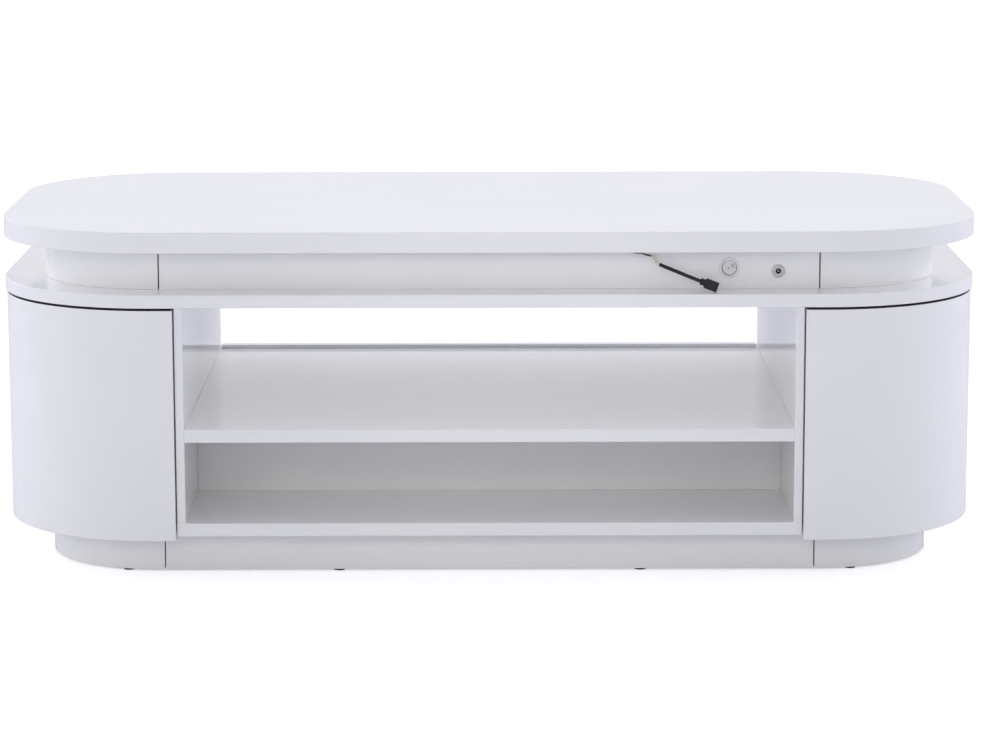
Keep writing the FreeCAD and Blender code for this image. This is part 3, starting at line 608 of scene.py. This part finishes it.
def make_screws():
    head_radius, flange_screw_x, end_inset = 4 * mm, 338 * mm, 7.5 * mm
    for node, rail, body, way in (("base_rail_screws", "base_rails", "carcass", 1),
                                  ("top_rail_screws", "top_rails", "lifting_top", -1)):
        low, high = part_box(rail)
        seat = low.z + 3 * mm if way > 0 else high.z - 3 * mm
        ends = (low.y + end_inset, high.y - end_inset)
        places = [(side * flange_screw_x, y, seat) for side in (1, -1) for y in ends]
        set_screws(node + "_cross_head", body, places, [(0, 0, way)] * len(places), head_radius, 3, node)

    small_radius, web = 2.4 * mm, 1.5 * mm
    low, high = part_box("drawer_rails")
    ys = [low.y + share * (high.y - low.y) for share in (0.08, 0.5, 0.92)]
    middle = (low.z + high.z) / 2
    rail_places = [(side * (high.x - web), y, middle) for side in (1, -1) for y in ys]
    rail_facings = [(-side, 0, 0) for side in (1, -1) for y in ys]
    set_screws("rail_screws", "carcass", rail_places, rail_facings, small_radius, 5)
    side_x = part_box("drawer_sides")[1].x + web
    runner_places = [(side * side_x, y + 40 * mm, middle) for side in (1, -1) for y in ys[:-1]]
    runner_facings = [(side, 0, 0) for side in (1, -1) for y in ys[:-1]]
    set_screws("runner_screws", "rear_drawer", runner_places, runner_facings, small_radius, 7)
    plate_low, plate_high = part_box("bottom_pivots")
    plate_y = (plate_low.y + plate_high.y) / 2
    plate_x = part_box("plinth_right_end")[1].x
    plate_places = [(side * (plate_x + out), plate_y, plate_low.z) for side in (1, -1) for out in (9 * mm, 24 * mm)]
    set_screws("pivot_plate_screws", "carcass", plate_places, [(0, 0, -1)] * 4, small_radius, 9)


screw_tree = fixings_tree()
screw = screw_part()
make_screws()
bpy.data.objects.remove(screw)


# ---------------------------------------------------------------- plastic parts of the doors, latches and feet
# Door bushes: natural nylon. Push latches: grey ABS with a fine spark texture. Glides: hard polyethylene.
natural_nylon = surface("natural_nylon", ("#E6E1D3", "#DDD7C6"), 6 * mm, (0.38, 0.5), (1.0 * mm, 0.01 * mm),
                        **{"Subsurface Weight": 0.1, "Subsurface Radius": (0.002, 0.002, 0.0015)})
grey_abs = surface("spark_textured_grey_abs", ("#8E9093", "#85878A"), 12 * mm, (0.45, 0.6), (0.9 * mm, 0.02 * mm))
dark_polyethylene = surface("dark_polyethylene", ("#3A3A3C", "#303032"), 6 * mm, (0.5, 0.65), (1.2 * mm, 0.03 * mm))
clear_bumper = surface("clear_polyurethane", ("#D9DCDA", "#CDD1CF"), 4 * mm, (0.2, 0.32), (2.0 * mm, 0.01 * mm),
                       **{"Transmission Weight": 0.55, "IOR": 1.49})
recoat(natural_nylon, "left_door_bushes", "right_door_bushes")
recoat(grey_abs, "latch_bodies", "left_latch_plunger", "right_latch_plunger")
recoat(dark_polyethylene, "floor_glides")
recoat(clear_bumper, "top_bumpers")


# ---------------------------------------------------------------- round rocker switch
# A white ABS snap-in switch: polished bezel, satin rocker with a printed off and on mark. It sits turned in its hole.
def make_switch_marks():
    rocker_front, valley, tilt, turn = 2.6 * mm, math.radians(8), math.radians(10), math.radians(30)
    bar_at, bar_long, bar_wide = -1.3 * mm, 2.6 * mm, 0.8 * mm
    ring_at, ring_out, ring_in = 4.3 * mm, 2.0 * mm, 1.25 * mm
    proud, sunk = 0.05 * mm, 0.1 * mm
    low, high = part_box("switch_bezel")
    centre = Vector(((low.x + high.x) / 2, neck_low.y + 2 * mm, (low.z + high.z) / 2))
    place = Matrix.Translation(centre) @ Matrix.Rotation(-turn, 4, "Y") @ Matrix.Rotation(tilt, 4, "Z")

    def on_face(bm, x, z, out):
        return bm.verts.new(place @ Vector((x, -rocker_front - abs(x) * math.tan(valley) - out, z)))

    bm = bmesh.new()
    bar = [(bar_at + a * bar_long / 2, b * bar_wide / 2) for a, b in ((-1, -1), (1, -1), (1, 1), (-1, 1))]
    outer, inner = [[on_face(bm, x, z, out) for x, z in bar] for out in (proud, -sunk)]
    bm.faces.new(outer)
    bm.faces.new(inner)
    for k in range(4):
        bm.faces.new((outer[k - 1], outer[k], inner[k], inner[k - 1]))
    sides = 32
    loops = []
    for radius, out in ((ring_out, -sunk), (ring_out, proud), (ring_in, proud), (ring_in, -sunk)):
        turns = [2 * math.pi * k / sides for k in range(sides)]
        loops.append([on_face(bm, ring_at + 0.85 * radius * math.cos(t), radius * math.sin(t), out) for t in turns])
    for a, b in zip(loops, loops[1:] + loops[:1]):
        for k in range(sides):
            bm.faces.new((a[k - 1], a[k], b[k], b[k - 1]))
    ink = surface("grey_pad_print", ("#6B6C70", "#75767A"), 3 * mm, (0.5, 0.6), (0.8 * mm, 0.005 * mm))
    marks = piece_from("rocker_marks", bm, ink)
    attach(marks, "rocker")


polished_abs = surface("polished_white_abs", ("#ECECEC", "#E6E6E7"), 10 * mm, (0.12, 0.2), (2.5 * mm, 0.004 * mm))
satin_abs = surface("satin_white_abs", ("#E7E7E8", "#E0E0E2"), 8 * mm, (0.3, 0.42), (1.0 * mm, 0.008 * mm))
recoat(polished_abs, "switch_bezel")
recoat(satin_abs, "switch_rocker")
make_switch_marks()


# ---------------------------------------------------------------- power inlet
# A round panel socket for a barrel plug: satin nickel flange and pin, with a black moulded insulator inside.
def make_inlet_liner():
    low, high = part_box("power_jack")
    hole, wall, pin, depth = 3.17 * mm, 0.35 * mm, 1.05 * mm, 9.8 * mm
    x, z = (low.x + high.x) / 2, (low.z + high.z) / 2
    profile = [(hole, 0.1 * mm), (hole, depth), (pin, depth), (pin, depth - wall), (hole - wall, depth - wall),
               (hole - wall, 0.4 * mm), (hole - 0.05 * mm, 0.1 * mm)]
    sides = 40
    bm = bmesh.new()
    loops = []
    for radius, deep in profile:
        turns = [2 * math.pi * k / sides for k in range(sides)]
        loops.append([bm.verts.new((x + radius * math.cos(t), low.y + deep, z + radius * math.sin(t))) for t in turns])
    for a, b in zip(loops, loops[1:] + loops[:1]):
        for k in range(sides):
            bm.faces.new((a[k - 1], a[k], b[k], b[k - 1]))
    phenolic = surface("black_moulded_insulator", ("#0C0C0D", "#141415"), 3 * mm, (0.4, 0.55),
                       (0.8 * mm, 0.01 * mm))
    liner = piece_from("inlet_insulator", bm, phenolic)
    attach(liner, "carcass")


satin_nickel = surface("satin_nickel", ("#C8C7C4", "#BEBDBA"), 4 * mm, (0.25, 0.36), (1.0 * mm, 0.005 * mm),
                       Metallic=1.0)
recoat(satin_nickel, "power_jack")
make_inlet_liner()


# ---------------------------------------------------------------- light strip
# A white flexible circuit tape glued round the neck close under the top. It carries sixty square light packages to the
# metre, two small resistors between each pair, and copper pads where the tape may be cut.
strip_low, strip_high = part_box("led_strip")


def neck_path(out, z):
    """Points round the neck, a given distance off its face, from the strip's first end to its last."""
    half_x, half_y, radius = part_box("neck_right_end")[1].x, neck_high_y, 150 * mm
    first_x, last_x = 207 * mm, 164 * mm
    corners = [((half_x - radius, -(half_y - radius)), -90), ((half_x - radius, half_y - radius), 0),
               ((-(half_x - radius), half_y - radius), 90), ((-(half_x - radius), -(half_y - radius)), 180)]
    line = [Vector((first_x, -half_y - out, z))]
    for (x, y), start in corners:
        for k in range(33):
            turn = math.radians(start + 90 * k / 32)
            line.append(Vector((x + (radius + out) * math.cos(turn), y + (radius + out) * math.sin(turn), z)))
    line.append(Vector((last_x, -half_y - out, z)))
    return line


def path_tree():
    """Geometry Nodes: a part at even steps along a line, its +X along the line and -Y outwards."""
    tree = bpy.data.node_groups.new("parts_along_line", "GeometryNodeTree")
    for name, kind in (("Line", "Geometry"), ("Part", "Object"), ("Pitch", "Float"), ("Finish", "Material")):
        tree.interface.new_socket(name, in_out="INPUT", socket_type="NodeSocket" + kind)
    tree.interface.new_socket("Parts", in_out="OUTPUT", socket_type="NodeSocketGeometry")
    given = add(tree, "NodeGroupInput").outputs
    curve = add(tree, "GeometryNodeMeshToCurve", {"Mesh": given["Line"]})
    steps = add(tree, "GeometryNodeResampleCurve", {"Curve": curve.outputs["Curve"], "Length": given["Pitch"]},
                mode="LENGTH")
    tangent = add(tree, "GeometryNodeInputTangent")
    along = add(tree, "FunctionNodeAlignRotationToVector", {"Vector": tangent.outputs["Tangent"]}, axis="X",
                pivot_axis="Z")
    part = add(tree, "GeometryNodeObjectInfo", {"Object": given["Part"]})
    placed = add(tree, "GeometryNodeInstanceOnPoints",
                 {"Points": steps.outputs["Curve"], "Instance": part.outputs["Geometry"],
                  "Rotation": along.outputs["Rotation"]})
    real = add(tree, "GeometryNodeRealizeInstances", {"Geometry": placed.outputs["Instances"]})
    coated = add(tree, "GeometryNodeSetMaterial", {"Geometry": real.outputs["Geometry"], "Material": given["Finish"]})
    add(tree, "NodeGroupOutput", {"Parts": coated.outputs["Geometry"]})
    return tree


def line_object(line):
    """A bare polyline."""
    mesh = bpy.data.meshes.new("line")
    mesh.from_pydata(line, [(k, k + 1) for k in range(len(line) - 1)], [])
    made = bpy.data.objects.new("line", mesh)
    bpy.context.scene.collection.objects.link(made)
    return made


def along_strip(name, part, pitch, finish):
    """Copies of a part along the tape's face. The part is used up."""
    line = neck_path(tape_thickness, strip_middle)
    piece = grown(name, line_object(line), path_tree(), {"Part": part, "Pitch": pitch, "Finish": finish})
    bpy.data.objects.remove(part)
    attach(piece, "carcass")


def block_part(name, blocks, edge):
    """One small part of rounded blocks, each given by two corners."""
    bm = bmesh.new()
    for low, high in blocks:
        made = bmesh.ops.create_cube(bm, size=1.0)
        middle = [(a + b) / 2 for a, b in zip(low, high)]
        size = [b - a for a, b in zip(low, high)]
        bmesh.ops.transform(bm, matrix=Matrix.Translation(middle) @ Matrix.Diagonal((*size, 1)), verts=made["verts"])
    if edge:
        bmesh.ops.bevel(bm, geom=list(bm.edges), offset=edge, segments=1, affect="EDGES")
    return piece_from(name, bm)


def lens_part():
    """The low dome of clear silicone on one package, facing -Y."""
    bm = bmesh.new()
    add_lathe(bm, [(0, 1.2 * mm), (1.35 * mm, 1.2 * mm), (1.35 * mm, 1.48 * mm), (1.0 * mm, 1.56 * mm),
                   (0, 1.57 * mm)], 20)
    bmesh.ops.rotate(bm, cent=(0, 0, 0), matrix=Matrix.Rotation(math.pi / 2, 3, "X"), verts=bm.verts)
    return piece_from("lens", bm)


def make_tape():
    half = (strip_high.z - strip_low.z) / 2 - 0.1 * mm
    rows = [[Vector((p.x, p.y, p.z + rise)) for p in neck_path(out, strip_middle)]
            for out, rise in ((0, -half), (tape_thickness, -half), (tape_thickness, half), (0, half))]
    bm = bmesh.new()
    rows = [[bm.verts.new(p) for p in row] for row in rows]
    for a, b in zip(rows, rows[1:] + rows[:1]):
        for k in range(len(a) - 1):
            bm.faces.new((a[k], a[k + 1], b[k + 1], b[k]))
    for end in (0, -1):
        bm.faces.new([row[end] for row in rows])
    solder_mask = surface("white_solder_mask", ("#EDEDE8", "#E4E4DE"), 12 * mm, (0.3, 0.42), (1.2 * mm, 0.01 * mm))
    stands_for(piece_from("circuit_tape", bm, solder_mask), "led_strip")


tape_thickness = 0.35 * mm
strip_middle = (strip_low.z + strip_high.z) / 2
neck_high_y = -neck_low.y
make_tape()
light_pitch, cut_pitch = 1.0 / 60, 0.05
package = block_part("package", [((-1.75 * mm, -1.4 * mm, -1.75 * mm), (1.75 * mm, 0, 1.75 * mm))], 0.12 * mm)
along_strip("light_packages", package, light_pitch,
            surface("white_polyphthalamide", ("#F0F0EC", "#E6E6E0"), 3 * mm, (0.35, 0.45), (0.8 * mm, 0.006 * mm)))
along_strip("light_lenses", lens_part(), light_pitch,
            surface("cast_clear_silicone", ("#D8D6B8", "#CFCCA6"), 2 * mm, (0.12, 0.2), (1.0 * mm, 0.004 * mm),
                    **{"Coat Weight": 0.6}))
pads = [((7.4 * mm, -0.06 * mm, z - 0.35 * mm), (9.2 * mm, 0.05 * mm, z + 0.35 * mm))
        for z in (-1.8 * mm, -0.6 * mm, 0.6 * mm, 1.8 * mm)]
along_strip("copper_cut_pads", block_part("pads", pads, 0), cut_pitch,
            surface("bare_copper", ("#B8794F", "#A2653F"), 4 * mm, (0.3, 0.45), (0.9 * mm, 0.005 * mm), Metallic=1.0))
resistors = [((5.6 * mm, -0.5 * mm, 0.9 * mm), (7.2 * mm, 0, 1.7 * mm)),
             ((5.6 * mm, -0.5 * mm, -1.7 * mm), (7.2 * mm, 0, -0.9 * mm))]
along_strip("chip_resistors", block_part("resistor", resistors, 0.06 * mm), light_pitch,
            surface("black_glazed_resistor", ("#161618", "#222226"), 2 * mm, (0.25, 0.35), (0.8 * mm, 0.005 * mm)))


# ---------------------------------------------------------------- light controller
# A small two-part ABS case taped to the deck inside the neck. Its lid is a separate moulding with a shadow line.
def make_controller_lid():
    low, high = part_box("led_controller")
    inset, line, lid = 1.6 * mm, 0.5 * mm, 0.8 * mm
    blocks = [((low.x + inset, low.y + inset, high.z - 0.2 * mm), (high.x - inset, high.y - inset, high.z + lid))]
    for k in range(5):
        x = low.x + (16 + 3.2 * k) * mm
        blocks.append(((x, low.y + 8 * mm, high.z + lid - 0.1 * mm),
                       (x + 1.4 * mm, high.y - 8 * mm, high.z + lid + line)))
    lid_piece = block_part("controller_lid", blocks, 0.25 * mm)
    lid_piece.data.materials.append(satin_abs)
    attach(lid_piece, "carcass")


recoat(satin_abs, "led_controller")
make_controller_lid()


# ---------------------------------------------------------------- floor and light
# A pale seamless floor under a white studio sky that is brighter behind and to the sides, a wide soft box beside the
# camera, and a weak narrow one for the open bay. The floor glows for the camera only, so it reads as plain white.
def make_studio():
    floor_glow, sky_sides, sky_behind = 0.5, 1.25, 0.92
    bm = bmesh.new()
    bmesh.ops.create_grid(bm, x_segments=2, y_segments=2, size=60)
    paper = surface("white_studio_paper", ("#F1F1F3", "#EDEDF0"), 1.5, (0.85, 0.95), (20 * mm, 0.02 * mm),
                    **{"Emission Color": linear("#FFFFFF")})
    paper_tree = paper.node_tree
    seen = add(paper_tree, "ShaderNodeLightPath").outputs["Is Camera Ray"]
    glow = add(paper_tree, "ShaderNodeMath", {0: seen, 1: floor_glow}, operation="MULTIPLY")
    shader = next(node for node in paper_tree.nodes if node.type == "BSDF_PRINCIPLED")
    paper_tree.links.new(glow.outputs["Value"], shader.inputs["Emission Strength"])
    floor = piece_from("studio_floor", bm, paper)

    world = bpy.data.worlds.new("white_studio")
    world.use_nodes = True
    tree = world.node_tree
    tree.nodes.clear()
    way = add(tree, "ShaderNodeTexCoord").outputs["Generated"]
    parts = add(tree, "ShaderNodeSeparateXYZ", {"Vector": way})
    across = add(tree, "ShaderNodeMath", {0: parts.outputs["X"]}, operation="ABSOLUTE")
    sides = add(tree, "ShaderNodeMapRange", {"Value": across.outputs["Value"], "From Min": 0.15, "From Max": 0.95,
                                             "To Min": 0.0, "To Max": sky_sides}, interpolation_type="SMOOTHSTEP")
    depth = add(tree, "ShaderNodeMapRange", {"Value": parts.outputs["Y"], "From Min": -0.8, "From Max": 0.8,
                                             "To Min": 0.0, "To Max": sky_behind}, interpolation_type="SMOOTHSTEP")
    total = add(tree, "ShaderNodeMath", {0: depth.outputs["Result"], 1: sides.outputs["Result"]}, operation="ADD")
    cool = add(tree, "ShaderNodeMapRange", {"Value": parts.outputs["Z"], "From Min": 0.1, "From Max": 0.9})
    tint = add(tree, "ShaderNodeMix", {"Factor": cool.outputs["Result"]}, data_type="RGBA")
    tint.inputs[6].default_value, tint.inputs[7].default_value = linear("#FEFEFF"), linear("#E8EAFF")
    light = add(tree, "ShaderNodeBackground", {"Strength": total.outputs["Value"], "Color": tint.outputs[2]})
    add(tree, "ShaderNodeOutputWorld", {"Surface": light.outputs["Background"]})
    bpy.context.scene.world = world
    bpy.context.scene.view_settings.view_transform = "Standard"

    for name, place, target, size, spread, power in (
            ("front_softbox", (-0.8, -4.6, 1.6), (0, 0, 0.2), (3.4, 2.0), 180, 32),
            ("bay_fill", (0.05, -1.5, 0.72), (0.02, -0.1, 0.13), (0.5, 0.2), 38, 0.09)):
        data = bpy.data.lights.new(name, "AREA")
        data.shape = "RECTANGLE"
        data.size, data.size_y = size
        data.spread = math.radians(spread)
        data.energy = power
        data.color = linear("#FFFDF8")[:3]
        lamp = bpy.data.objects.new(name, data)
        lamp.location = place
        lamp.rotation_euler = (Vector(target) - Vector(place)).to_track_quat("-Z", "Y").to_euler()
        bpy.context.scene.collection.objects.link(lamp)


make_studio()
